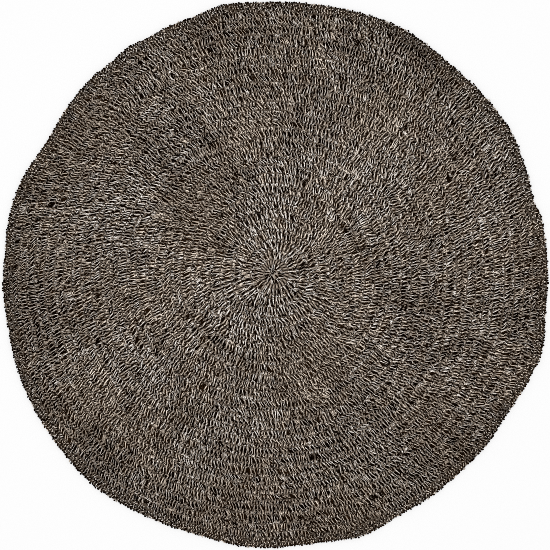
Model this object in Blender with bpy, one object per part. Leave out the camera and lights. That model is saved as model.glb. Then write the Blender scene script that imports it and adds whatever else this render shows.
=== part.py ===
"""A round rug crocheted from one thick cord, lying flat on the floor.

The real rug is worked from the middle out in closed rounds of tall stitches, with no seam and no
backing, and ends in a tight row of small stitches along the rim. So it is one solid: a thin disc
with a hand-made, slightly uneven outline, a flat underside, and each round standing up as a low rib.
The origin is the middle of the first round, on the underside. Metres, +Z up.
"""

import math

import bmesh
import bpy
import numpy as np

MM = 0.001

# Driving sizes of the rug
MEAN_RADIUS = 750 * MM
ROUND_COUNT = 28

# The first rounds are of full height, and after them every five begin with two low ones.
FULL_ROUND = 27.5 * MM
LOW_ROUND = 22.5 * MM
FULL_AT_START = 6

# Heights above the floor
RIB_TOP = 12.0 * MM
RIB_FOOT = 9.8 * MM
RIM_TOP = 10.6 * MM
RIM_SIDE = 5.0 * MM
HAND_SWAY = 0.5 * MM

# How far the rim's crown and its foot lie inside the outline
RIM_CROWN_INSET = 8.0 * MM
RIM_FOOT_INSET = 3.5 * MM

# The rounds are true circles in the middle and take up the outline's shape only near the rim.
OUTLINE_PULL = 4

# The finest ring of points, and the rounds after which the number of points in a ring doubles
FIRST_RING_POINTS = 30
DOUBLE_AFTER_ROUNDS = (5, 17)

CORD_COLOUR = (0.112, 0.091, 0.072, 1.0)
CORD_ROUGHNESS = 0.9

# The outline, counter-clockwise from +X and seen from above: it is hand-made, with soft corners
# where the last round was pulled tight, so the radius is given only where its trend changes.
OUTLINE = (
    # bearing in degrees, radius in millimetres
    (0.0, 757),
    (8.0, 755),
    (12.5, 755),
    (16.0, 744),
    (19.0, 750),
    (24.0, 755),
    (29.0, 763),
    (38.0, 761),
    (51.0, 755),
    (60.0, 762),
    (66.0, 761),
    (72.0, 755),
    (80.0, 750),
    (92.0, 746),
    (103.0, 748),
    (106.0, 740),
    (112.0, 738),
    (119.0, 734),
    (122.5, 739),
    (127.0, 731),
    (131.0, 733),
    (140.0, 728),
    (150.5, 720),
    (155.0, 727),
    (158.5, 735),
    (167.0, 742),
    (177.0, 739),
    (182.0, 744),
    (190.0, 743),
    (198.0, 749),
    (208.0, 755),
    (220.0, 759),
    (231.0, 764),
    (241.0, 756),
    (257.0, 750),
    (265.0, 757),
    (273.0, 753),
    (282.0, 754),
    (289.0, 764),
    (297.0, 752),
    (305.0, 753),
    (315.0, 752),
    (321.0, 755),
    (328.0, 752),
    (337.0, 763),
    (344.5, 772),
    (349.0, 763),
    (354.0, 757),
)


def clear_scene():
    for item in list(bpy.data.objects):
        bpy.data.objects.remove(item)


def outline_radius(bearing_deg):
    """Radius of the rug's edge at this bearing: a smooth closed curve through the outline's rows."""
    bearings, radii = np.array(OUTLINE).T
    bearings = np.concatenate([bearings - 360, bearings, bearings + 360])
    radii = np.tile(radii, 3) * MM
    slopes = np.gradient(radii, bearings)
    row = np.searchsorted(bearings, bearing_deg, side="right") - 1
    span = bearings[row + 1] - bearings[row]
    t = (bearing_deg - bearings[row]) / span
    start = (1 + 2 * t) * (1 - t) ** 2 * radii[row] + t * (1 - t) ** 2 * span * slopes[row]
    end = t**2 * (3 - 2 * t) * radii[row + 1] + t**2 * (t - 1) * span * slopes[row + 1]
    return start + end


def ring_radius(from_middle, bearing_deg):
    """Radius, at this bearing, of the ring whose mean radius is from_middle."""
    pull = (from_middle / MEAN_RADIUS) ** OUTLINE_PULL
    return from_middle * (1 + pull * (outline_radius(bearing_deg) / MEAN_RADIUS - 1))


def round_height(round_number):
    """How far outwards this round reaches from the one inside it."""
    after_start = round_number - FULL_AT_START - 1
    low = after_start >= 0 and after_start % 5 < 2
    return LOW_ROUND if low else FULL_ROUND


def hand_sway(round_number, bearing_deg):
    """How much higher or lower than the others a stitch lies, since no two are pulled alike."""
    turn = math.radians(bearing_deg)
    slow = math.cos(2 * turn + 1.7 * round_number)
    quick = math.cos(5 * turn - 2.3 * round_number)
    return HAND_SWAY * (slow + quick) / 2


def open_edges(mesh):
    return [edge for edge in mesh.edges if edge.is_boundary]


def bearing_of(vertex):
    return math.degrees(math.atan2(vertex.co.y, vertex.co.x)) % 360


def place_ring(vertices, from_middle, height, round_number=None):
    """Moves these points, each along its own bearing, to the ring of that radius and height."""
    for vertex in vertices:
        bearing = bearing_of(vertex)
        radius = ring_radius(from_middle, bearing)
        turn = math.radians(bearing)
        sway = 0.0 if round_number is None else hand_sway(round_number, bearing)
        vertex.co = (radius * math.cos(turn), radius * math.sin(turn), height + sway)


def double_ring(mesh):
    """Puts a new point in the middle of each edge of the outermost ring."""
    bmesh.ops.subdivide_edges(mesh, edges=open_edges(mesh), cuts=1)


def add_ring(mesh, from_middle, height, round_number=None):
    """Extrudes the outermost ring to a new one."""
    made = bmesh.ops.extrude_edge_only(mesh, edges=open_edges(mesh))["geom"]
    place_ring(
        [item for item in made if isinstance(item, bmesh.types.BMVert)],
        from_middle,
        height,
        round_number,
    )


def add_rounds(mesh):
    """Each round is a rib: its crest along the middle of its stitches, its foot where the next begins."""
    foot = FULL_ROUND
    add_ring(mesh, foot, RIB_FOOT, 1)
    for number in range(2, ROUND_COUNT + 1):
        crest = foot + round_height(number) / 2
        foot = foot + round_height(number)
        add_ring(mesh, crest, RIB_TOP, number)
        add_ring(mesh, foot, RIB_FOOT, number)
        if number in DOUBLE_AFTER_ROUNDS:
            double_ring(mesh)
            place_ring({v for edge in open_edges(mesh) for v in edge.verts}, foot, RIB_FOOT, number)


def add_rim(mesh):
    """The last, tight row of stitches: a low crown that turns down to the floor and a flat underside."""
    add_ring(mesh, MEAN_RADIUS - RIM_CROWN_INSET, RIM_TOP)
    add_ring(mesh, MEAN_RADIUS, RIM_SIDE)
    add_ring(mesh, MEAN_RADIUS - RIM_FOOT_INSET, 0.0)
    bmesh.ops.contextual_create(mesh, geom=open_edges(mesh))


def rug_mesh():
    mesh = bmesh.new()
    bmesh.ops.create_circle(
        mesh, cap_ends=True, cap_tris=True, segments=FIRST_RING_POINTS, radius=FULL_ROUND / 2
    )
    bmesh.ops.translate(mesh, verts=mesh.verts, vec=(0, 0, RIB_TOP))
    add_rounds(mesh)
    add_rim(mesh)
    bmesh.ops.recalc_face_normals(mesh, faces=mesh.faces)
    bmesh.ops.triangulate(mesh, faces=mesh.faces)
    data = bpy.data.meshes.new("rug")
    mesh.to_mesh(data)
    mesh.free()
    data.shade_smooth()
    data.set_sharp_from_angle(angle=math.radians(40))
    return data


def cord_material():
    material = bpy.data.materials.new("cord")
    material.use_nodes = True
    shader = material.node_tree.nodes["Principled BSDF"]
    shader.inputs["Base Color"].default_value = CORD_COLOUR
    shader.inputs["Roughness"].default_value = CORD_ROUGHNESS
    shader.inputs["Metallic"].default_value = 0.0
    return material


def main():
    clear_scene()
    rug = bpy.data.objects.new("rug", rug_mesh())
    rug.data.materials.append(cord_material())
    bpy.context.scene.collection.objects.link(rug)


main()
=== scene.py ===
# %% [markdown]
# A round rug, crocheted from a thick cord in two tones, natural and near-black.
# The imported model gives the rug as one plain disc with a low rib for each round. This script keeps
# that disc's size and outline and makes what the eye sees: about 8,000 tall stitches in 27 rounds,
# each worked from a few short arched lengths of cord, the rays of the start in the middle of the
# rug, and the small tight stitches of its edging.

import bpy
import numpy as np
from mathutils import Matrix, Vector


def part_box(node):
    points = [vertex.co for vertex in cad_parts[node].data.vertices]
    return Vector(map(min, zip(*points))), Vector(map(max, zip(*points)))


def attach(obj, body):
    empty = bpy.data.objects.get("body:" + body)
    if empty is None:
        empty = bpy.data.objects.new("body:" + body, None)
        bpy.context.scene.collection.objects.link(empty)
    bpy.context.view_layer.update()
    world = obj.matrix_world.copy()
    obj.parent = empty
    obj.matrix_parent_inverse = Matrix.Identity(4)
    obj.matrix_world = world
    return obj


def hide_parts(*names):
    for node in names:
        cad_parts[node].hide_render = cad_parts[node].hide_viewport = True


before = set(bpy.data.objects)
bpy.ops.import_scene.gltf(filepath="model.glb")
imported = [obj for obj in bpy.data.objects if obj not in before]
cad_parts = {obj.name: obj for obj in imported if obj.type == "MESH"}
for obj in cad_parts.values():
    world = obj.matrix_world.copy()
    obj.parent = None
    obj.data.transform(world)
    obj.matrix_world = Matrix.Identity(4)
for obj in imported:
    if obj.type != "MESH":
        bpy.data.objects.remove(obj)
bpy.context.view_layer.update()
MM = 0.001
TURN = 2 * np.pi
rug_low, rug_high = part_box("rug")
print("rug box in mm:", [round(v / MM) for v in (*rug_low, *rug_high)])

# %% [markdown]
# The outline is not regular: the rug is made by hand, and its last rounds were pulled more in some
# places than in others. It could be drawn again as a curve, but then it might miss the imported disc.
# So it is read from the disc itself, whose widest points form one ring along the rim, and a smooth
# curve is laid through them.

# %% Outline from the disc
RIM_POINTS = 120

corners = np.array([vertex.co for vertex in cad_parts["rug"].data.vertices])
reach = np.hypot(corners[:, 0], corners[:, 1])
bearing = np.arctan2(corners[:, 1], corners[:, 0]) % TURN
place = np.round(bearing / TURN * RIM_POINTS).astype(int) % RIM_POINTS
rim_reach = np.array([reach[place == i].max() for i in range(RIM_POINTS)])
MEAN_RADIUS = float(rim_reach.mean())
print("rim points:", len(rim_reach), "mean radius in mm:", round(MEAN_RADIUS / MM, 1))


def outline(bearings):
    """The rug's radius at these bearings, in radians, on a smooth closed curve."""
    along = np.asarray(bearings) / TURN * RIM_POINTS
    first = np.floor(along).astype(int)
    t = along - first
    before, start, end, after = (rim_reach[(first + i) % RIM_POINTS] for i in (-1, 0, 1, 2))
    curve = 2 * start + (end - before) * t
    curve += (2 * before - 5 * start + 4 * end - after) * t**2
    curve += (3 * start - before - 3 * end + after) * t**3
    return curve / 2


# %% [markdown]
# Seen from above, the rug has fine dark lines between its rounds, and they are not evenly apart:
# after the first six rounds, every group of five begins with two low ones. Each round stands up as
# a crest and falls to a groove where the next one is worked into it. One cosine, counted in rounds
# and not in millimetres, tells how far up its crest any place on the rug is.

# %% Heights of the rounds
ROUND_COUNT = 28
FULL_ROUND = 27.5 * MM
LOW_ROUND = 22.5 * MM
FULL_AT_START = 6
CREST_AT = 0.45


def round_height(number):
    """How far outwards this round reaches: after the first rounds, every five begin with two low ones."""
    after_start = number - FULL_AT_START - 1
    low = after_start >= 0 and after_start % 5 < 2
    return LOW_ROUND if low else FULL_ROUND


round_edges = np.cumsum([0.0] + [round_height(number) for number in range(1, ROUND_COUNT + 1)])
round_middles = (round_edges[1:] + round_edges[:-1]) / 2
print("rounds end at mm:", np.round(round_edges[1:] / MM).astype(int))


def crest(from_middle):
    """1 on the crest of a round, -1 in the groove between it and the next."""
    return np.cos(TURN * (np.interp(from_middle, round_edges, np.arange(ROUND_COUNT + 1)) - CREST_AT))


# %% [markdown]
# The rounds are not true circles. The first one lies a few millimetres beside the middle, and each
# follows the one inside it, so they sway together by a millimetre or two and only near the rim take
# up its outline. A noise texture could bend them, but a few waves added up give a smooth random
# field whose size and spread are known, and the same kind of field serves for tones and leans below.

# %% Rounds that sway
rng = np.random.default_rng(11)
START_BESIDE = (2.5 * MM, -3.5 * MM)
ROUND_SWAY = 2.2 * MM
SWAY_WAVELENGTH = 330 * MM
SWAY_WAVES = 12
FULL_SWAY_FROM = 120 * MM
OUTLINE_PULL = 4


def field(wavelength, waves=24):
    """A smooth random field over the rug, with a spread of 1, that changes over this distance."""
    heading = rng.uniform(0, TURN, waves)
    start = rng.uniform(0, TURN, waves)
    stride = TURN / wavelength * rng.uniform(0.6, 1.4, waves)

    def at(x, y):
        total = np.zeros(np.shape(x))
        for angle, first, pace in zip(heading, start, stride):
            total += np.cos(pace * (x * np.cos(angle) + y * np.sin(angle)) + first)
        return total * np.sqrt(2 / waves)

    return at


sway_field = field(SWAY_WAVELENGTH, SWAY_WAVES)


def ring(from_middle, bearings):
    """The radius of a round: swaying a little in the middle, and on the outline at the rim."""
    cos, sin = np.cos(bearings), np.sin(bearings)
    pull = (from_middle / MEAN_RADIUS) ** OUTLINE_PULL
    follow = from_middle * (1 + pull * (outline(bearings) / MEAN_RADIUS - 1))
    own_sway = ROUND_SWAY * np.minimum(1, from_middle / FULL_SWAY_FROM)
    own_sway = own_sway * sway_field(from_middle * cos, from_middle * sin)
    return follow + (1 - pull) * (START_BESIDE[0] * cos + START_BESIDE[1] * sin + own_sway)


tenth_round = ring(round_edges[10], np.linspace(0, TURN, 360))
print("the tenth round sways between mm:", *np.round((tenth_round.min() / MM, tenth_round.max() / MM), 1))

# %% [markdown]
# The camera stands straight above the rug with a long lens, as in the reference view, so that the
# rim is seen from above all round. Its height follows from the lens and from how much floor the
# picture spans, and it stands a few millimetres beside the middle of the rug, as there.

# %% Camera
PICTURE_PX = 550
MM_PER_PX = 2.7437
MIDDLE_PX = (272.8, 273.2)
LENS_MM = 100
FAR_CLIP = 100

camera = bpy.data.objects.new("camera", bpy.data.cameras.new("camera"))
bpy.context.scene.collection.objects.link(camera)
camera.data.lens = LENS_MM
camera.data.clip_end = FAR_CLIP
span = PICTURE_PX * MM_PER_PX * MM
beside = (PICTURE_PX / 2 - MIDDLE_PX[0]) * MM_PER_PX * MM
below = (PICTURE_PX / 2 - MIDDLE_PX[1]) * MM_PER_PX * MM
camera.location = (beside, -below, rug_high.z + span * LENS_MM / camera.data.sensor_width)
bpy.context.scene.camera = camera
print("camera height in m:", round(camera.location.z, 3))

# %% [markdown]
# The rug lies on a plain, nearly white floor. It is a single square, a hair below the rug so that
# the two faces don't flicker through each other, and large enough to fill the view from the side.

# %% Floor
FLOOR_HALF = 6.0
FLOOR_DROP = 0.2 * MM
FLOOR_COLOUR = (0.880, 0.880, 0.880, 1)
FLOOR_ROUGHNESS = 0.9

pale_floor = bpy.data.materials.new("pale_floor")
pale_floor.use_nodes = True
floor_shader = pale_floor.node_tree.nodes["Principled BSDF"]
floor_shader.inputs["Base Color"].default_value = FLOOR_COLOUR
floor_shader.inputs["Roughness"].default_value = FLOOR_ROUGHNESS

floor_mesh = bpy.data.meshes.new("floor")
floor_corners = [(x * FLOOR_HALF, y * FLOOR_HALF, 0) for x, y in ((-1, -1), (1, -1), (1, 1), (-1, 1))]
floor_mesh.from_pydata(floor_corners, [], [(0, 1, 2, 3)])
floor_mesh.materials.append(pale_floor)
floor = bpy.data.objects.new("floor", floor_mesh)
floor.location.z = -FLOOR_DROP
bpy.context.scene.collection.objects.link(floor)
print("floor in m:", 2 * FLOOR_HALF, "square")

# %% [markdown]
# The light is that of a white studio tent. The world gives an even glow from all sides, which keeps
# the shadow round the rim faint, and one large round lamp high overhead does the rest: it reaches
# the crowns of the cords but not the gaps between them, so those go nearly black.

# %% Light
TENT_STRENGTH = 0.47
LAMP_PLACE = (-0.2, 0.3, 12.0)
LAMP_WATTS = 990
LAMP_WIDTH = 6.0

tent = bpy.data.worlds.new("tent")
tent.use_nodes = True
tent.node_tree.nodes["Background"].inputs["Color"].default_value = (1, 1, 1, 1)
tent.node_tree.nodes["Background"].inputs["Strength"].default_value = TENT_STRENGTH
bpy.context.scene.world = tent

lamp_light = bpy.data.lights.new("overhead", "AREA")
lamp_light.shape = "DISK"
lamp_light.size = LAMP_WIDTH
lamp_light.energy = LAMP_WATTS
lamp = bpy.data.objects.new("overhead", lamp_light)
lamp.location = LAMP_PLACE
lamp.rotation_euler = (-Vector(LAMP_PLACE)).to_track_quat("-Z", "Y").to_euler()
bpy.context.scene.collection.objects.link(lamp)
bpy.context.scene.view_settings.view_transform = "Standard"
print("lamp distance in m:", round(lamp.location.length, 2))

# %% [markdown]
# No hand-made rug is even. In the reference view the rug is palest a hand's width from its middle
# and darker towards its edging, and a few small places by the rim are dark with painted shade, where
# creases run in from notches in the outline. A painted image could say so, but a few numbers are
# easier to change: one table gives the brightness from the middle out, and a second the places that
# are plainly lighter or darker than that.

# %% Lighter and darker places
# How bright the rounds are from the middle out: radius in millimetres and brightness
RADII = (0, 7, 12, 50, 140, 270, 500, 625, 665, 700, 750)
BRIGHTNESS = (0.72, 0.72, 0.82, 1.14, 1.22, 1.21, 1.02, 1.03, 0.86, 0.84, 0.81)

# Places of their own: x and y and width in millimetres, and the change in brightness
PLACES = (
    (30, 110, 80, 0.16),
    (0, 220, 110, 0.22),
    (-155, -155, 80, 0.14),
    (60, -110, 90, -0.08),
    (233, -233, 110, -0.10),
    (-240, -20, 90, 0.08),
    (210, 210, 170, 0.10),
    (720, 120, 230, 0.22),
    (480, 480, 170, 0.17),
    (-90, 560, 120, -0.12),
    (10, 560, 100, -0.10),
    (-560, 420, 150, -0.14),
    (-690, 0, 170, -0.05),
    (470, -480, 170, -0.20),
    (100, -640, 200, -0.16),
    (260, -70, 110, -0.13),
    (-190, 130, 70, -0.08),
    (20, 170, 90, 0.10),
    (-70, -150, 80, 0.16),
    (-150, -190, 90, 0.14),
    (150, -80, 80, -0.10),
    (350, -510, 130, -0.06),
    (560, 320, 120, 0.10),
    # The last four are small dark places by the rim: painted shade of creases that run in from its notches.
    (-304, -647, 16, -0.4),
    (-205, -688, 18, -0.4),
    (690, 176, 18, -0.4),
    (665, -230, 18, -0.4),
)
print("places lighter or darker than their round:", len(PLACES))

# %% [markdown]
# Between those places the tone, the warmth and the lean of the stitches still wander. Smooth random
# fields of several sizes, from as wide as a hand to half the rug, stand for that. The rounds were
# worked most evenly to the lower right of the reference view, where they show as clear rings.

# %% Fields over the rug
broad_tone = field(420 * MM)
middle_tone = field(130 * MM)
fine_tone = field(45 * MM)
broad_warmth = field(300 * MM)
fine_warmth = field(50 * MM)
lean_field = field(160 * MM)
BROAD_TONE, MIDDLE_TONE, FINE_TONE = 0.11, 0.10, 0.06
BROAD_WARMTH, FINE_WARMTH = 1.6, 1.9
EVENEST_AT = (330, -330)
EVEN_WIDTH = 420


def brightness(x, y):
    """How pale the cord is at these places, 1 being the usual, with painted shade in creases by the rim."""
    tone = np.interp(np.hypot(x, y) / MM, RADII, BRIGHTNESS)
    wander = BROAD_TONE * broad_tone(x, y) + MIDDLE_TONE * middle_tone(x, y) + FINE_TONE * fine_tone(x, y)
    tone = tone * (1 + wander)
    for place_x, place_y, width, change in PLACES:
        off = np.hypot(x / MM - place_x, y / MM - place_y) / width
        tone = tone * (1 + change * np.exp(-(off**2)))
    return tone


def evenness(x, y):
    """1 where the rounds were worked most evenly and show as rings, falling to 0 elsewhere."""
    off = np.hypot(x / MM - EVENEST_AT[0], y / MM - EVENEST_AT[1]) / EVEN_WIDTH
    return np.exp(-(off**4))


def warmth(x, y):
    """How brown the cord is at these places: 0 is the usual, less is greyer and more is browner."""
    return BROAD_WARMTH * broad_warmth(x, y) + FINE_WARMTH * fine_warmth(x, y)


north = np.linspace(0, MEAN_RADIUS, 6)
print("brightness from the middle to the top of the view:", np.round(brightness(0 * north, north), 2))

# %% [markdown]
# From above, a stitch shows only as short lengths of cord, each rising from between its neighbours
# and diving under the next. So the unit of this model is one closed length, arched like a bridge. A
# curve object with a bevel would do for a few, but not for the nearly fifty thousand of this rug,
# so all of them are computed at once as arrays. A plan is a set of arrays with one value for each
# length: where it lies, how it heads, how long, wide and high it is, and its tone.

# %% Crown lines of the lengths
FOOT = 3.0 * MM
SAG = 0.9 * MM
ARCH_POWER = 0.75
ARCH_SHARE = 0.98
NEAREST_MIDDLE = 4 * MM
LONG = {"steps": (-1.0, -0.8, -0.35, 0.35, 0.8, 1.0), "girth": (0, 0.85, 1, 1, 0.85, 0)}
SHORT = {"steps": (-1.0, -0.5, 0.5, 1.0), "girth": (0, 1, 1, 0)}


def centre_lines(plan, steps):
    """The crown of each length, with one row each, and how far each point is up the crest of its round."""
    t = np.array(steps)[None, :]
    ahead = plan["half_length"][:, None] * t
    aside = plan["sway"][:, None] * np.sin(np.pi * t) + plan["bow"][:, None] * (1 - t**2)
    cos, sin = np.cos(plan["heading"])[:, None], np.sin(plan["heading"])[:, None]
    outward = np.abs(plan["radius"][:, None] + ahead * cos - aside * sin)
    bearings = plan["turn"][:, None] + (ahead * sin + aside * cos) / np.maximum(outward, NEAREST_MIDDLE)
    reach_now = ring(outward, bearings)
    lift = np.cos(t * TURN / 4 * ARCH_SHARE) ** ARCH_POWER
    rise = crest(outward) * np.reshape(plan["depth"], (-1, 1))
    high = FOOT + (plan["top"][:, None] - FOOT) * lift + plan["tilt"][:, None] * t * lift + SAG * rise * lift
    return np.stack([reach_now * np.cos(bearings), reach_now * np.sin(bearings), high], axis=-1), rise


print("points along a length:", len(LONG["steps"]), "or", len(SHORT["steps"]))

# %% [markdown]
# Only the upper half of a cord can be seen, so its skin has points at both sides and over the
# crown and is closed flat underneath: three or four points round are enough at this size. The two
# ends run to tips that are pushed down among the neighbours, and nothing goes below the floor.

# %% Skin of the lengths
CUTS = {3: (-90, 0, 90), 4: (-90, -38, 38, 90)}
FLATTENED = 0.95
TIP_DROP = 0.5


def cord_skin(centre, width, girth, cut):
    """Rings of points under each crown line, and the two tips that close it."""
    along = np.gradient(centre, axis=1)
    along /= np.linalg.norm(along, axis=2, keepdims=True)
    over = np.array([0.0, 0.0, 1.0]) - along * along[..., 2:3]
    over /= np.linalg.norm(over, axis=2, keepdims=True)
    side = np.cross(along, over)
    angles = np.radians(CUTS[cut])
    half = width[:, None] / 2 * girth
    across = np.sin(angles)[None, None, :, None] * side[:, :, None, :]
    raised = (np.cos(angles)[None, None, :, None] - 1) * over[:, :, None, :] * FLATTENED
    rings = centre[:, :, None, :] + half[:, :, None, None] * (across + raised)
    rings = rings[:, 1:-1].reshape(len(centre), -1, 3)
    tips = centre[:, [0, -1]] - np.array([0, 0, TIP_DROP]) * width[:, None, None]
    return np.concatenate([rings, tips], axis=1)


def cord_faces(ring_count, cut):
    """Corner numbers of one length: the sides as quads, the tips as triangles."""
    i, j = np.arange(ring_count - 1)[:, None], np.arange(cut)[None, :]
    after = (j + 1) % cut
    near, far = i * cut, (i + 1) * cut
    sides = np.stack([near + after, far + after, far + j, near + j], axis=-1).reshape(-1, 4)
    j, after = np.arange(cut), (np.arange(cut) + 1) % cut
    foot = np.stack([after, j, np.full(cut, ring_count * cut)], axis=-1)
    last = (ring_count - 1) * cut
    head = np.stack([last + j, last + after, np.full(cut, ring_count * cut + 1)], axis=-1)
    return sides, np.concatenate([foot, head])


for form, cut in ((LONG, 4), (LONG, 3), (SHORT, 4), (SHORT, 3)):
    sides, ends = cord_faces(len(form["steps"]) - 2, cut)
    print("triangles of a length:", 2 * len(sides) + len(ends))

# %% [markdown]
# Where the rug looks paler, it is not only that the natural cord is lighter there: it also lies
# wider and the dark cord narrower. The same goes for the crest of each round and the groove beside
# it, and there the shade kept on the points is painted shade, lighter on the crest and darker in the
# groove. So every change in tone is split between the width of the cords and a shade that is kept on
# their points, which leaves the darks dark and the lights light, as in a real two-tone cord.

# %% Lengths of cord
# Painted shade over the rounds: points on a round's crest are made lighter and points in its groove darker,
# by this share.
CREST_PAINTED_SHADE = 0.35
CREST_GIRTH = 0.35
NATURAL_WIDENS = 0.6
DARK_NARROWS = -0.4
TONE_TO_SHADE = 0.5
SHADE_RANGE = (0.05, 1.4)
FLECK = 0.10
OWN_WARMTH = 0.05
TIP_RUN = 2 * MM


def lengths(plan, form, cut):
    """Points, faces and material values of all lengths in a plan."""
    centre, rise = centre_lines(plan, form["steps"])
    middle = centre[:, len(form["steps"]) // 2]
    tone_here = brightness(middle[:, 0], middle[:, 1])
    is_natural = plan["tone"] > 0.5
    swell = CREST_GIRTH * np.where(is_natural, 1, -1)[:, None] * rise
    girth = np.array(form["girth"], float) * (1 + swell)
    width = plan["width"] * tone_here ** np.where(is_natural, NATURAL_WIDENS, DARK_NARROWS)
    points = cord_skin(centre, width, girth, cut)
    points[..., 2] = np.maximum(points[..., 2], 0)
    count, each = points.shape[:2]
    ring_count = len(form["steps"]) - 2
    sides, ends = cord_faces(ring_count, cut)
    shift = (np.arange(count) * each)[:, None, None]
    run = np.cumsum(np.linalg.norm(np.diff(centre, axis=1), axis=2), axis=1)
    run = run + rng.uniform(0, 1, (count, 1))
    run = np.concatenate([np.repeat(run[:, :-1], cut, axis=1), run[:, :1] - TIP_RUN, run[:, -1:]], axis=1)
    around = np.concatenate([np.tile(np.array(CUTS[cut]) / 360 + 0.25, ring_count), [0.25, 0.25]])
    # Painted shade by the crest and the groove of the round, times a random fleck for each ring of points.
    fleck_and_crest_shade = (1 + CREST_PAINTED_SHADE * rise[:, 1:-1]) * (1 + FLECK * rng.normal(size=(count, ring_count)))
    fleck_and_crest_shade = np.concatenate([np.repeat(fleck_and_crest_shade, cut, axis=1), fleck_and_crest_shade[:, :1], fleck_and_crest_shade[:, -1:]], axis=1)
    shade = plan["shade"] * tone_here**TONE_TO_SHADE
    warm = warmth(middle[:, 0], middle[:, 1]) + OWN_WARMTH * rng.normal(size=count)
    return {
        "points": points.reshape(-1, 3),
        "sides": (sides + shift).reshape(-1, 4),
        "ends": (ends + shift).reshape(-1, 3),
        "run": np.stack([run.ravel(), np.tile(around, count)], axis=1),
        "tone": np.repeat(plan["tone"], each),
        "shade": np.clip(shade[:, None] * fleck_and_crest_shade, *SHADE_RANGE).ravel(),
        "warm": np.repeat(warm, each),
    }


# %% [markdown]
# Joining objects one by one would take minutes at this number. Filling one mesh from arrays takes a
# moment: corners, loops and polygons are set with foreach_set. The run of the cord goes into a UV
# map, metres along it and turns around it, and tone, shade and warmth become named attributes that
# the material reads.

# %% One object from many lengths
def cord_piece(name, made):
    """One object from several runs of lengths, with their values for the material."""
    total = np.cumsum([0] + [len(part["points"]) for part in made])
    corner, size = [], []
    for part, start in zip(made, total):
        corner += [(part["sides"] + start).ravel(), (part["ends"] + start).ravel()]
        size += [np.full(len(part["sides"]), 4), np.full(len(part["ends"]), 3)]
    points = np.concatenate([part["points"] for part in made]).astype(np.float32)
    corner, size = np.concatenate(corner).astype(np.int32), np.concatenate(size)
    mesh = bpy.data.meshes.new(name)
    mesh.vertices.add(len(points))
    mesh.vertices.foreach_set("co", points.ravel())
    mesh.loops.add(len(corner))
    mesh.loops.foreach_set("vertex_index", corner)
    mesh.polygons.add(len(size))
    mesh.polygons.foreach_set("loop_start", np.append(0, np.cumsum(size)[:-1]).astype(np.int32))
    mesh.update(calc_edges=True)
    mesh.validate()
    mesh.shade_smooth()
    run = np.concatenate([part["run"] for part in made])[corner].astype(np.float32)
    mesh.uv_layers.new(name="cord_run").uv.foreach_set("vector", run.ravel())
    for label in ("tone", "shade", "warm"):
        values = np.concatenate([part[label] for part in made]).astype(np.float32)
        mesh.attributes.new(label, "FLOAT", "POINT").data.foreach_set("value", values)
    piece = bpy.data.objects.new(name, mesh)
    bpy.context.scene.collection.objects.link(piece)
    print(name, "triangles:", int((size - 2).sum()))
    return piece


# %% [markdown]
# To stay flat, a round needs as many stitches as fit its length, about twenty more than the one
# inside it. They stand 8 mm apart on average, but a hand pulls one tight and leaves the next loose,
# so their widths vary by a third. Whatever changes slowly along a round, such as the lean of its
# stitches, is noise that closes on itself after one turn.

# %% Stitches of a round
STITCH_APART = 8.0 * MM
STITCH_SPREAD = 0.34
NARROWEST, WIDEST = 0.5, 1.8

stitch_counts = np.round(TURN * round_middles / STITCH_APART).astype(int)
print("stitches in the rounds:", stitch_counts, "from the second on:", stitch_counts[1:].sum())


def stitch_turns(number):
    """The bearing and the width, in radians, of each stitch in a round, none quite as the next."""
    own = rng.normal(size=stitch_counts[number - 1])
    widths = np.clip(1 + STITCH_SPREAD * own, NARROWEST, WIDEST)
    widths *= TURN / widths.sum()
    return np.cumsum(widths) - widths / 2 + rng.uniform(0, TURN), widths


def round_wave(number, wavelength):
    """Smooth noise along one round, with a spread of 1, that changes over this distance."""
    most = max(2, int(TURN * round_middles[number - 1] / wavelength))
    order = np.arange(1, most + 1)
    swing = rng.normal(size=(2, most)) / np.sqrt(most)

    def at(turns):
        steps = np.outer(turns, order)
        return np.cos(steps) @ swing[0] + np.sin(steps) @ swing[1]

    return at


def about(middle, spread, count):
    """This many values round a middle, with this spread, as a hand would scatter them."""
    return rng.normal(middle, spread, count)


# %% [markdown]
# All stitches were worked in the same direction, so they lean to the same side, more from round to
# round until about the tenth, with a slow wander along each round. What the lengths of one stitch
# share is settled first: its place, its lean, its tone and how clearly its round stands up there.

# %% What a stitch shares
LEAN = np.radians(24)
LEAN_IN_MIDDLE = 0.2
LEAN_GROWS_OVER = 12
LEAN_WANDER = np.radians(9)
LEAN_PLACES = np.radians(6)
LEAN_EACH = np.radians(5)
LEAN_RANGE = (-0.5, 1.0)
SLIP = 1.6 * MM
ROW_TONE = 0.08
DEPTH_LEAST = 0.62
DEPTH_IF_EVEN = 0.27
DEPTH_WANDER = 0.3
LOW_ROUND_DEPTH = 0.6
LEAN_WAVE, TONE_WAVE, DEPTH_WAVE = 110 * MM, 50 * MM, 250 * MM


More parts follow.
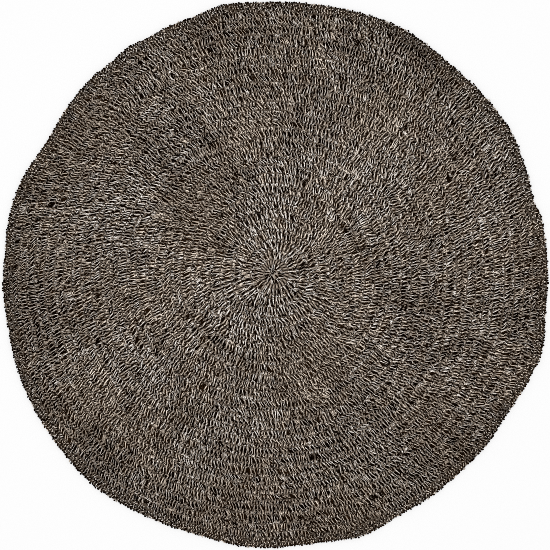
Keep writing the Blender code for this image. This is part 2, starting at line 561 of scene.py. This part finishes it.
def shared_by_stitch(number):
    """What the lengths of each stitch in a round have in common, such as its place and its lean."""
    turns, step = stitch_turns(number)
    count = len(turns)
    middle = round_middles[number - 1]
    narrow = min(1.0, TURN / count * middle / STITCH_APART)
    x, y = middle * np.cos(turns), middle * np.sin(turns)
    slip = about(0, SLIP, count)
    lean = LEAN * min(1.0, LEAN_IN_MIDDLE + number / LEAN_GROWS_OVER)
    lean = lean + LEAN_WANDER * round_wave(number, LEAN_WAVE)(turns)
    lean = lean + LEAN_PLACES * lean_field(x, y) + about(0, LEAN_EACH, count)
    row_tone = 1 + ROW_TONE * round_wave(number, TONE_WAVE)(turns)
    depth = DEPTH_LEAST + DEPTH_IF_EVEN * evenness(x, y)
    depth = depth * (1 + DEPTH_WANDER * round_wave(number, DEPTH_WAVE)(turns))
    return {
        "turns": turns,
        "step": step,
        "narrow": narrow,
        "thick": np.sqrt(step * count / TURN) * narrow,
        "slip": slip,
        "lean": np.clip(lean, *LEAN_RANGE),
        "row_tone": row_tone,
        "depth": depth * (1.0 if round_height(number) == FULL_ROUND else LOW_ROUND_DEPTH),
    }


# %% [markdown]
# Each stitch shows a body, two cords side by side that reach over the outer part of its round and
# the edge of the next: the natural one thin and a little higher, the dark one thick. It could be one
# mesh copied along the ring, but then every stitch would be alike. Here each has its own heading,
# length and bend.

# %% Bodies of the stitches
# The two cords of a stitch: the side of the stitch that each lies on, as a share of its width, and
# the height of the crown and the width, in millimetres, of its body and of its foot
NATURAL_CORD = {"side": 0.25, "body_top": 10.3, "body_width": 2.75, "foot_top": 10.4, "foot_width": 2.5}
DARK_CORD = {"side": -0.25, "body_top": 10.0, "body_width": 4.2, "foot_top": 10.0, "foot_width": 3.9}
# How much each value of a body varies from one to the next
BODY_LOOSE = {
    "radius": 0.8 * MM,
    "half_length": 0.09,
    "heading": np.radians(8),
    "sway": 0.7 * MM,
    "bow": 0.6 * MM,
    "top": 0.5 * MM,
    "tilt": 0.5 * MM,
}
BODY_AT = 0.83
BODY_HALF = 0.40
SIDE_SPREAD = 0.11
WIDTH_SPREAD = 0.22
STITCH_SHADE = 1.12
SHADE_LOSS = 0.17
BODY_SWAPPED = 0.015
BODY_END = 0.85


def stitch_shade(shared):
    """The shade of each stitch, mostly the usual and now and then a good deal darker."""
    return STITCH_SHADE * shared["row_tone"] - SHADE_LOSS * np.abs(rng.normal(size=len(shared["turns"])))


def bodies(number, natural, shared):
    """The plan of one round's natural or dark bodies, and how far to the side each one reaches."""
    cord_of = NATURAL_CORD if natural else DARK_CORD
    turns, narrow, lean = shared["turns"], shared["narrow"], shared["lean"]
    count, height = len(turns), round_height(number)
    radius = round_edges[number - 1] + BODY_AT * height + shared["slip"]
    radius = radius + about(0, BODY_LOOSE["radius"], count)
    half = BODY_HALF * height * (1 + about(0, BODY_LOOSE["half_length"], count))
    side = cord_of["side"] + about(0, SIDE_SPREAD, count)
    sideways = BODY_END * half * np.tan(lean) / radius * narrow
    swapped = rng.uniform(size=count) < BODY_SWAPPED
    plan = {
        "radius": radius,
        "turn": turns + side * shared["step"],
        "heading": (lean + about(0, BODY_LOOSE["heading"], count)) * narrow,
        "half_length": half,
        "sway": about(0, BODY_LOOSE["sway"], count) * narrow,
        "bow": about(0, BODY_LOOSE["bow"], count) * narrow,
        "top": cord_of["body_top"] * MM + about(0, BODY_LOOSE["top"], count),
        "tilt": about(0, BODY_LOOSE["tilt"], count),
        "width": cord_of["body_width"] * MM * shared["thick"] * (1 + about(0, WIDTH_SPREAD, count)),
        "tone": np.where(swapped, not natural, natural).astype(float),
        "shade": stitch_shade(shared),
        "depth": shared["depth"],
    }
    return plan, sideways


# %% [markdown]
# The cord is two-tone because it is laid up from a natural and a dark strand, and where it turns
# round itself the other strand comes up for a few millimetres. That breaks the long strokes into
# the small marks of the real rug. So some bodies carry a short length of the other tone, slightly
# above them. More dark ones lie on natural bodies than the other way round.

# %% Where the cord turns
# On natural and on dark bodies: the share that carry one, and its width and shade as shares of theirs
ON_NATURAL = {"share": 0.6, "width": 1.05, "shade": 1.0}
ON_DARK = {"share": 0.3, "width": 0.66, "shade": 0.75}
PIECE_ALONG = 0.7
PIECE_HALF = (2.0, 4.0)
PIECE_RISE = 0.6 * MM
PIECE_HEADING = np.radians(18)


def cord_turns(body, natural, lean):
    """Short pieces of the other tone over some bodies, where the two-tone cord turns round itself."""
    under = ON_NATURAL if natural else ON_DARK
    chosen = rng.uniform(size=len(lean)) < under["share"]
    count = chosen.sum()
    along = rng.uniform(-PIECE_ALONG, PIECE_ALONG, count) * body["half_length"][chosen]
    radius = body["radius"][chosen] + along
    return {
        "radius": radius,
        "turn": body["turn"][chosen] + along * np.tan(lean[chosen]) / radius,
        "heading": body["heading"][chosen] + about(0, PIECE_HEADING, count),
        "half_length": rng.uniform(*PIECE_HALF, count) * MM,
        "sway": np.zeros(count),
        "bow": np.zeros(count),
        "top": body["top"][chosen] + PIECE_RISE,
        "tilt": np.zeros(count),
        "width": body["width"][chosen] * under["width"],
        "tone": np.full(count, float(not natural)),
        "shade": body["shade"][chosen] * under["shade"],
        "depth": body["depth"][chosen],
    }


# %% [markdown]
# The inner part of a round is the feet of its stitches. A foot is a short length that runs from the
# stitch's own body back to the top of a stitch one round further in, the nearest one of its tone.
# Since no two rounds have the same number of stitches, the feet slant by different amounts, and
# the eye reads that as the broken band between one crest and the next.

# %% Feet of the stitches
FOOT_LOOSE = {
    "radius": 0.9 * MM,
    "half_length": 0.12,
    "heading": np.radians(6),
    "sway": 0.4 * MM,
    "bow": 0.4 * MM,
    "top": 0.6 * MM,
    "tilt": 0.6 * MM,
}
FOOT_REACH = 0.3 * MM
FOOT_AT = 0.30
FOOT_RISE = 0.32
FOOT_HALF = 0.55
FOOT_SWAPPED = 0.15


def feet(number, natural, shared, body, sideways, tops_below):
    """The plan of the feet, from the tops one round further in to the bodies of this one."""
    cord_of = NATURAL_CORD if natural else DARK_CORD
    narrow, count = shared["narrow"], len(shared["turns"])
    inner, height = round_edges[number - 1], round_height(number)
    start = (body["turn"] - sideways) % TURN
    wanted = start + FOOT_REACH / inner
    after = np.searchsorted(tops_below, wanted % TURN)
    choice = np.stack([tops_below[(after - 1) % len(tops_below)], tops_below[after % len(tops_below)]])
    off = (choice - wanted + np.pi) % TURN - np.pi
    nearest = np.where(abs(off[0]) < abs(off[1]), off[0], off[1])
    across = (FOOT_REACH + nearest * inner) * narrow
    rise = FOOT_RISE * height
    swapped = rng.uniform(size=count) < FOOT_SWAPPED
    return {
        "radius": inner + FOOT_AT * height + about(0, FOOT_LOOSE["radius"], count),
        "turn": start + across / 2 / inner,
        "heading": np.arctan2(-across, rise) + about(0, FOOT_LOOSE["heading"], count),
        "half_length": FOOT_HALF * np.hypot(across, rise) * (1 + about(0, FOOT_LOOSE["half_length"], count)),
        "sway": about(0, FOOT_LOOSE["sway"], count) * narrow,
        "bow": about(0, FOOT_LOOSE["bow"], count) * narrow,
        "top": cord_of["foot_top"] * MM + about(0, FOOT_LOOSE["top"], count),
        "tilt": about(0, FOOT_LOOSE["tilt"], count),
        "width": cord_of["foot_width"] * MM * shared["thick"] * (1 + about(0, WIDTH_SPREAD, count)),
        "tone": np.where(swapped, not natural, natural).astype(float),
        "shade": stitch_shade(shared),
        "depth": shared["depth"],
    }


# %% [markdown]
# Over the top of every second stitch one loop shows, lying almost along the round. It is thin, a
# little higher than the rest, and sits where the next round was worked into it. Too many of these
# would draw the rounds as hard rings, which the real rug doesn't have.

# %% Loops over the tops
LOOP_LOOSE = {
    "radius": 2.0 * MM,
    "heading": np.radians(25),
    "half_length": 0.2,
    "sway": 0.4 * MM,
    "bow": 0.8 * MM,
    "top": 0.8 * MM,
    "tilt": 0.6 * MM,
    "width": 0.2,
    "shade": 0.15,
}
LOOP_AT = 0.36
LOOP_HEADING = np.radians(75)
LOOP_HALF = 3.8 * MM
LOOP_TOP = 10.5 * MM
LOOP_WIDTH = 2.6 * MM
LOOP_NATURAL = 0.45
LOOP_DEPTH = 0.5


def top_loops(number):
    """The plan of the loops over a round's tops, into which the next round is worked."""
    turns = stitch_turns(number)[0][::2]
    count = len(turns)
    radius = round_edges[number] + LOOP_AT * round_height(number + 1)
    radius = radius + about(0, LOOP_LOOSE["radius"], count)
    narrow = min(1.0, TURN / stitch_counts[number - 1] * round_middles[number - 1] / STITCH_APART)
    return {
        "radius": radius,
        "turn": turns,
        "heading": LOOP_HEADING + about(0, LOOP_LOOSE["heading"], count),
        "half_length": LOOP_HALF * (1 + about(0, LOOP_LOOSE["half_length"], count)) * narrow,
        "sway": about(0, LOOP_LOOSE["sway"], count),
        "bow": about(0, LOOP_LOOSE["bow"], count),
        "top": LOOP_TOP + about(0, LOOP_LOOSE["top"], count),
        "tilt": about(0, LOOP_LOOSE["tilt"], count),
        "width": LOOP_WIDTH * narrow * (1 + about(0, LOOP_LOOSE["width"], count)),
        "tone": (rng.uniform(size=count) < LOOP_NATURAL).astype(float),
        "shade": about(1, LOOP_LOOSE["shade"], count),
        "depth": LOOP_DEPTH,
    }


# %% [markdown]
# Now the rounds are worked one after the other, from the second on, because each needs the places
# where the last one ended. A few neighbouring rounds make one piece, so that no piece grows past
# the number of triangles that can still be handled with ease.

# %% Work the rounds
MOST_STITCHES = 1900


def tall_stitches(number, tops_below):
    """The lengths of one round, and the bearings at which its natural and dark bodies end."""
    shared = shared_by_stitch(number)
    worked, tops = [], {}
    for natural in (True, False):
        body, sideways = bodies(number, natural, shared)
        tops[natural] = np.sort((body["turn"] + sideways) % TURN)
        worked.append((body, LONG, 4 if natural else 3))
        worked.append((cord_turns(body, natural, shared["lean"]), SHORT, 3))
        if tops_below:
            foot = feet(number, natural, shared, body, sideways, tops_below[natural])
            worked.append((foot, SHORT, 3))
    return worked, tops


groups = [[2]]
for number in range(3, ROUND_COUNT + 1):
    if stitch_counts[groups[-1][0] - 1 : number].sum() > MOST_STITCHES:
        groups.append([])
    groups[-1].append(number)
pieces, tops = [], {}
for group in groups:
    made = []
    for number in group:
        worked, tops = tall_stitches(number, tops)
        if number < ROUND_COUNT:
            worked.append((top_loops(number), SHORT, 4))
        made += [lengths(*plan) for plan in worked]
    pieces.append(cord_piece(f"stitches_rounds_{group[0]}_to_{group[-1]}", made))

# %% [markdown]
# The rug starts in its middle as a few long stitches drawn together, which the picture shows as
# straight rays: a ring of six, and round it a ring of sixteen, each natural ray beside a dark one.
# Lengths that are spaced evenly round a circle need no more than their number, their size and how
# loosely they lie, so one function plans them, here and for the edging.

# %% Start
SPACED_LOOSE = {
    "turn": 0.1,
    "radius": 0.9 * MM,
    "heading": np.radians(10),
    "half_length": 0.12,
    "sway": 0.4 * MM,
    "bow": 0.4 * MM,
    "top": 0.5 * MM,
    "tilt": 0.5 * MM,
    "width": 0.12,
    "shade": 0.12,
}


def spaced(count, radius, heading, half_length, top, width, tone, shift=0.0, loose=1.0):
    """A plan of this many lengths evenly round a circle, each a little off by hand."""
    turn = (np.arange(count) + shift + about(0, SPACED_LOOSE["turn"] * loose, count)) / count * TURN
    return {
        "radius": radius + about(0, SPACED_LOOSE["radius"] * loose, count),
        "turn": turn,
        "heading": heading + about(0, SPACED_LOOSE["heading"] * loose, count),
        "half_length": half_length * (1 + about(0, SPACED_LOOSE["half_length"] * loose, count)),
        "sway": about(0, SPACED_LOOSE["sway"] * loose, count),
        "bow": about(0, SPACED_LOOSE["bow"] * loose, count),
        "top": top + about(0, SPACED_LOOSE["top"], count),
        "tilt": about(0, SPACED_LOOSE["tilt"], count),
        "width": width * (1 + about(0, SPACED_LOOSE["width"], count)),
        "tone": (rng.uniform(size=count) < tone).astype(float),
        "shade": about(1, SPACED_LOOSE["shade"], count),
        "depth": 0.0,
    }


# Rays: how many, radius, half length, height of the crown and width in mm, share that is natural,
# shift round the circle as a share of one ray, and how loosely they lie
RAYS = (
    (6, 8.0, 7.0, 10.0, 1.9, 1.0, 0.0, 1.2),
    (6, 8.0, 7.0, 10.2, 4.6, 0.0, 0.5, 1.2),
    (16, 20.5, 8.5, 10.4, 2.4, 1.0, 0.3, 1.6),
    (16, 20.0, 8.5, 10.4, 3.8, 0.0, 0.8, 1.6),
)
RAY_HEADING = 0.15
rays = []
for count, radius, half, top, width, tone, shift, loose in RAYS:
    rays.append(spaced(count, radius * MM, RAY_HEADING, half * MM, top * MM, width * MM, tone, shift, loose))
print("rays of the start:", sum(len(plan["turn"]) for plan in rays))

# %% [markdown]
# The edging is three rows of short stitches that head to one side and the other in turn, so that
# the rim looks dotted rather than striped, and a last wrap of mostly dark cord over the edge. The
# wrap stands a little way past the slab below, which makes the rim scalloped, as real stitches do.

# %% Edging
EDGING_STITCHES = 600
WRAP_STITCHES = 700
EDGING_HALF = 4.8 * MM
EDGING_LOOSE = 1.8
EDGING_NATURAL_WIDTH = 2.6 * MM
EDGING_DARK_WIDTH = 3.9 * MM
ROW_SHIFT = 0.3
WRAP_RADIUS = 748.6 * MM
WRAP_HEADING = 1.0
WRAP_HALF = 4.0 * MM
WRAP_TOP = 8.6 * MM
WRAP_WIDTH = 4.2 * MM
WRAP_NATURAL = 0.16
WRAP_LOOSE = 1.2

# Rows of the edging: radius in mm, heading in radians and height of the crown in mm
EDGING_ROWS = ((727.0, -0.3, 10.4), (734.5, 0.6, 10.3), (742.0, -0.5, 9.9))
edging = []
for row, (radius, heading, top) in enumerate(EDGING_ROWS):
    shift = ROW_SHIFT * row
    size = (radius * MM, heading, EDGING_HALF, top * MM)
    natural_row = spaced(EDGING_STITCHES, *size, EDGING_NATURAL_WIDTH, 1.0, shift, EDGING_LOOSE)
    dark_row = spaced(EDGING_STITCHES, *size, EDGING_DARK_WIDTH, 0.0, shift + 0.5, EDGING_LOOSE)
    edging += [(natural_row, SHORT, 4), (dark_row, SHORT, 3)]
wrap_size = (WRAP_RADIUS, WRAP_HEADING, WRAP_HALF, WRAP_TOP, WRAP_WIDTH)
edging.append((spaced(WRAP_STITCHES, *wrap_size, WRAP_NATURAL, loose=WRAP_LOOSE), SHORT, 4))
pieces.append(cord_piece("start_ring", [lengths(plan, LONG, 4) for plan in rays]))
pieces.append(cord_piece("edging", [lengths(*plan) for plan in edging]))

# %% [markdown]
# Under the crowns lie the cords that cross deeper down. Modelled one by one they would double the
# mesh for what is seen only through gaps. So they are one closed slab that fills the rug's outline,
# 5 mm high, with a pattern of stitches painted on it. Its UV map counts stitches round each round
# and rounds outwards, so that the back shows the rounds as well.

# %% Base
BASE_TURNS = 120
BASE_TOP = 5.0 * MM
# The rim of the slab: how far inside the mean outline and how high, in mm
BASE_RIM = ((2.0, 4.0), (1.5, 0.0))


def base_levels():
    """The rings of the slab from the middle of its top, over the rim, to the middle below."""
    top = [(radius, BASE_TOP) for radius in sorted([*round_middles, *round_edges[1:]])]
    rim = [(MEAN_RADIUS - inset * MM, height * MM) for inset, height in BASE_RIM]
    return top + rim + [(radius, 0.0) for radius, height in reversed(top)]


def base_mesh():
    """The slab, with stitches and rounds counted in its UV map."""
    turn = np.arange(BASE_TURNS) * TURN / BASE_TURNS
    points, uv, faces = [], [], []
    levels = base_levels()
    for radius, height in levels:
        reach_now = ring(radius, turn)
        high = np.full(BASE_TURNS, height)
        points.append(np.stack([reach_now * np.cos(turn), reach_now * np.sin(turn), high], axis=1))
    points = np.concatenate(points + [np.array([[0, 0, BASE_TOP], [0, 0, 0]])])
    for level in range(len(levels) - 1):
        pair = np.array([levels[level][0], levels[level + 1][0]])
        inner, outer = np.interp(pair, round_edges, np.arange(ROUND_COUNT + 1))
        stitches = max(6, round(TURN * pair.mean() / STITCH_APART))
        for j in range(BASE_TURNS):
            k = (j + 1) % BASE_TURNS
            near, far = level * BASE_TURNS, (level + 1) * BASE_TURNS
            faces.append((near + j, far + j, far + k, near + k))
            left, right = j / BASE_TURNS * stitches, (j + 1) / BASE_TURNS * stitches
            uv += [(left, inner), (left, outer), (right, outer), (right, inner)]
    last = (len(levels) - 1) * BASE_TURNS
    for j in range(BASE_TURNS):
        k = (j + 1) % BASE_TURNS
        faces.append((len(points) - 2, j, k))
        faces.append((len(points) - 1, last + k, last + j))
        uv += [(0, 0), (0, 0.5), (0, 0.5)] * 2
    mesh = bpy.data.meshes.new("rug_base")
    mesh.from_pydata(points.tolist(), [], faces)
    mesh.shade_smooth()
    mesh.uv_layers.new(name="stitch_count").uv.foreach_set("vector", np.array(uv, np.float32).ravel())
    return mesh


base = bpy.data.objects.new("rug_base", base_mesh())
bpy.context.scene.collection.objects.link(base)
print("base triangles:", sum(len(face.vertices) - 2 for face in base.data.polygons))

# %% [markdown]
# The cord and the slab show the same fibre, so what both materials share is built once, as node
# groups. Writing nodes by script takes many lines for each one, so a small helper class adds a
# node, fills its sockets with a value or a link, and hands back its output.


# %% Helpers for nodes
class Nodes:
    """Short ways to add nodes to one tree."""

    def __init__(self, tree):
        self.tree = tree

    def add(self, kind, **settings):
        node = self.tree.nodes.new(kind)
        for label, value in settings.items():
            setattr(node, label, value)
        return node

    def put(self, socket, value):
        if isinstance(value, bpy.types.NodeSocket):
            self.tree.links.new(value, socket)
        else:
            socket.default_value = value

    def math(self, operation, first, second=0.0, third=0.0):
        node = self.add("ShaderNodeMath", operation=operation)
        for socket, value in zip(node.inputs, (first, second, third)):
            self.put(socket, value)
        return node.outputs[0]

    def mix(self, factor, first, second, blend="MIX"):
        node = self.add("ShaderNodeMix", data_type="RGBA", blend_type=blend)
        self.put(node.inputs["Factor"], factor)
        self.put(node.inputs["A"], first)
        self.put(node.inputs["B"], second)
        return node.outputs["Result"]


def node_group(name, inputs, outputs):
    """An empty group with these sockets, as pairs of name and kind."""
    group = bpy.data.node_groups.new(name, "ShaderNodeTree")
    for label, kind in inputs:
        group.interface.new_socket(label, in_out="INPUT", socket_type=f"NodeSocket{kind}")
    for label, kind in outputs:
        group.interface.new_socket(label, in_out="OUTPUT", socket_type=f"NodeSocket{kind}")
    made = Nodes(group)
    return made, made.add("NodeGroupInput").outputs, made.add("NodeGroupOutput").inputs


# %% [markdown]
# The first group turns a tone between dark and natural into a colour. The natural fibre is greyer
# in some places and browner in others. Where the shade is lower, painted shade as well as darker
# cord, it also turns browner, a painted tint for the light that bounces between fibres in shade, so
# the shade is raised to a slightly higher power for blue than for red.

# %% Colour of the cord
DARK = (0.0045, 0.0017, 0.0004, 1)
DARK_BROWN = (0.022, 0.010, 0.004, 1)
GREY_BEIGE = (0.595, 0.540, 0.487, 1)
BROWN_BEIGE = (0.614, 0.520, 0.427, 1)
SHADE_TINT_POWERS = (("Red", 0.94), ("Green", 1.03), ("Blue", 1.12))

tone_nodes, tone_in, tone_out = node_group(
    "cord_colour",
    (("Tone", "Float"), ("Shade", "Float"), ("Warm", "Float")),
    (("Colour", "Color"),),
)
warm_share = tone_nodes.math("MULTIPLY_ADD", tone_in["Warm"], 0.35, 0.45)
natural_colour = tone_nodes.mix(warm_share, GREY_BEIGE, BROWN_BEIGE)
dark_colour = tone_nodes.mix(tone_nodes.math("MULTIPLY", warm_share, 0.5), DARK, DARK_BROWN)
own_colour = tone_nodes.mix(tone_in["Tone"], dark_colour, natural_colour)
# Painted warmth in shade: the lower the shade, the browner the colour.
deeper = tone_nodes.add("ShaderNodeCombineColor")
for channel, power in SHADE_TINT_POWERS:
    tone_nodes.put(deeper.inputs[channel], tone_nodes.math("POWER", tone_in["Shade"], power))
shaded = tone_nodes.mix(1.0, own_colour, deeper.outputs[0], "MULTIPLY")
tone_nodes.put(tone_out["Colour"], shaded)
print("nodes in cord_colour:", len(tone_nodes.tree.nodes))

# %% [markdown]
# The second group is the fibre with its painted shade: the turns of the strands, which run slantwise
# round the cord once in 15 mm, with painted shade in the grooves between them, a fine mottle of pale
# and dull fibres, and painted shade on the sides, where a cord meets its neighbour.

# %% Fibre and painted shade
LAY = 15 * MM
STRAND_ROUNDNESS = 0.7
# Painted shade in the grooves between the strands, as a multiplier and an offset.
STRAND_GROOVE_SHADE = (0.5, 0.6)
MOTTLE_SCALE = 320
MOTTLE_CONTRAST = (1.8, 0.1)
# Painted shade on the sides of the cord, as a multiplier and an offset.
SIDE_SHADE = (0.66, 0.48)

fibre_nodes, fibre_in, fibre_out = node_group(
    "fibre_and_painted_shade",
    (("Run", "Vector"), ("Place", "Vector")),
    (("Shade", "Float"), ("Height", "Float")),
)
split = fibre_nodes.add("ShaderNodeSeparateXYZ")
fibre_nodes.put(split.inputs[0], fibre_in["Run"])
strand_turns = fibre_nodes.math("MULTIPLY_ADD", split.outputs[0], 1 / LAY, split.outputs[1])
strand_wave = fibre_nodes.math("SINE", fibre_nodes.math("MULTIPLY", strand_turns, TURN))
strands = fibre_nodes.math("POWER", fibre_nodes.math("ABSOLUTE", strand_wave), STRAND_ROUNDNESS)
mottle = fibre_nodes.add("ShaderNodeTexNoise")
mottle.inputs["Scale"].default_value = MOTTLE_SCALE
mottle.inputs["Detail"].default_value = 2
mottle.inputs["Roughness"].default_value = 0.7
fibre_nodes.put(mottle.inputs["Vector"], fibre_in["Place"])
spots = fibre_nodes.math("MULTIPLY_ADD", mottle.outputs["Fac"], *MOTTLE_CONTRAST)
# Painted shade on the sides of the cord: darker where it meets its neighbour, lightest over its crown.
over = fibre_nodes.math("SINE", fibre_nodes.math("MULTIPLY", split.outputs[1], TURN))
painted_side_shade = fibre_nodes.math("MULTIPLY_ADD", fibre_nodes.math("ABSOLUTE", over), *SIDE_SHADE)
# Painted shade of the strands: lighter over each strand's crown and darker in the grooves between strands.
strand_painted_shade = fibre_nodes.math("MULTIPLY_ADD", strands, *STRAND_GROOVE_SHADE)
mottle_and_painted_shade = fibre_nodes.math("MULTIPLY", strand_painted_shade, spots)
mottle_and_painted_shade = fibre_nodes.math("MULTIPLY", mottle_and_painted_shade, painted_side_shade)
fibre_nodes.put(fibre_out["Shade"], mottle_and_painted_shade)
fibre_nodes.put(fibre_out["Height"], strands)
print("nodes in fibre_and_painted_shade:", len(fibre_nodes.tree.nodes))

# %% [markdown]
# The cord's material puts the two groups together. The attributes that the lengths carry give its
# tone, shade and warmth, and the fibre's strands go into a bump. Dry plant fibre has no gloss, so
# the roughness is high and there is no specular reflection.

# %% Cord material
CORD_ROUGHNESS = 0.9
LEAST_SHADE = 0.02
STRAND_BUMP = 1 * MM
BUMP_STRENGTH = 0.6

cord = bpy.data.materials.new("two_tone_cord")
cord.use_nodes = True
own = Nodes(cord.node_tree)
shader = cord.node_tree.nodes["Principled BSDF"]
shader.inputs["Roughness"].default_value = CORD_ROUGHNESS
shader.inputs["Specular IOR Level"].default_value = 0.0
run = own.add("ShaderNodeUVMap", uv_map="cord_run")
place_node = own.add("ShaderNodeTexCoord")
fibre = own.add("ShaderNodeGroup", node_tree=bpy.data.node_groups["fibre_and_painted_shade"])
own.put(fibre.inputs["Run"], run.outputs["UV"])
own.put(fibre.inputs["Place"], place_node.outputs["Object"])
colour = own.add("ShaderNodeGroup", node_tree=bpy.data.node_groups["cord_colour"])
values = {label: own.add("ShaderNodeAttribute", attribute_name=label) for label in ("tone", "shade", "warm")}
own.put(colour.inputs["Tone"], values["tone"].outputs["Fac"])
own.put(colour.inputs["Warm"], values["warm"].outputs["Fac"])
shade = own.math("MULTIPLY", values["shade"].outputs["Fac"], fibre.outputs["Shade"])
own.put(colour.inputs["Shade"], own.math("MAXIMUM", shade, LEAST_SHADE))
own.put(shader.inputs["Base Color"], colour.outputs["Colour"])
bump = own.add("ShaderNodeBump")
bump.inputs["Distance"].default_value = STRAND_BUMP
bump.inputs["Strength"].default_value = BUMP_STRENGTH
own.put(bump.inputs["Height"], fibre.outputs["Height"])
own.put(shader.inputs["Normal"], bump.outputs["Normal"])
for piece in pieces:
    piece.data.materials.append(cord)
print("pieces in two_tone_cord:", len(pieces))

# %% [markdown]
# The slab's material has to say where natural and dark cords lie without any geometry. Its UV map
# counts stitches and rounds, so a slanting sine over the stitches, turned over by another one along
# the rounds, gives a broken pattern like that of the stitches above. It is half as bright, for the
# shade that deeper cords throw on each other, which a flat slab doesn't have.

# %% Base material
BASE_SLANT = 0.6
BASE_WARMTH = 0.6
BASE_SHADE = 0.5

deep = bpy.data.materials.new("deep_cords")
deep.use_nodes = True
own = Nodes(deep.node_tree)
shader = deep.node_tree.nodes["Principled BSDF"]
shader.inputs["Roughness"].default_value = CORD_ROUGHNESS
shader.inputs["Specular IOR Level"].default_value = 0.05
count_map = own.add("ShaderNodeUVMap", uv_map="stitch_count")
split = own.add("ShaderNodeSeparateXYZ")
own.put(split.inputs[0], count_map.outputs["UV"])
place_node = own.add("ShaderNodeTexCoord")
fibre = own.add("ShaderNodeGroup", node_tree=bpy.data.node_groups["fibre_and_painted_shade"])
own.put(fibre.inputs["Run"], count_map.outputs["UV"])
own.put(fibre.inputs["Place"], place_node.outputs["Object"])
slant = own.math("MULTIPLY_ADD", split.outputs[1], BASE_SLANT, split.outputs[0])
stripe = own.math("SINE", own.math("MULTIPLY", slant, TURN))
rows = own.math("SINE", own.math("MULTIPLY", split.outputs[1], TURN))
chequer = own.math("MULTIPLY_ADD", stripe, rows, 0.5)
colour = own.add("ShaderNodeGroup", node_tree=bpy.data.node_groups["cord_colour"])
own.put(colour.inputs["Tone"], own.math("MINIMUM", own.math("MAXIMUM", chequer, 0.0), 1.0))
own.put(colour.inputs["Warm"], BASE_WARMTH)
shade = own.math("MULTIPLY", fibre.outputs["Shade"], BASE_SHADE)
own.put(colour.inputs["Shade"], own.math("MAXIMUM", shade, LEAST_SHADE))
own.put(shader.inputs["Base Color"], colour.outputs["Colour"])
base.data.materials.append(deep)
print("nodes in deep_cords:", len(deep.node_tree.nodes))

# %% [markdown]
# A cord is only one or two pixels wide in the reference view, and still crisp. A narrow pixel
# filter keeps it so here, and without denoising the fine mottle of the fibre isn't smoothed away.

# %% Crispness
bpy.context.scene.cycles.pixel_filter_type = "BLACKMAN_HARRIS"
bpy.context.scene.cycles.filter_width = 0.75
bpy.context.scene.cycles.use_denoising = False
print("pixel filter width:", round(bpy.context.scene.cycles.filter_width, 2))

# %% [markdown]
# All pieces ride on the one body, root, each with its own material. The slab takes the place of
# the plain disc, which is hidden, and the stitches lie on it. Its area is that of the outline, for
# which many thin sectors are added up.

# %% Riding
for piece in (*pieces, base):
    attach(piece, "root")
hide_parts("rug")
area = float((outline(np.linspace(0, TURN, 3600, endpoint=False)) ** 2).mean() * np.pi)
print("area of the rug in square metres:", round(area, 3))
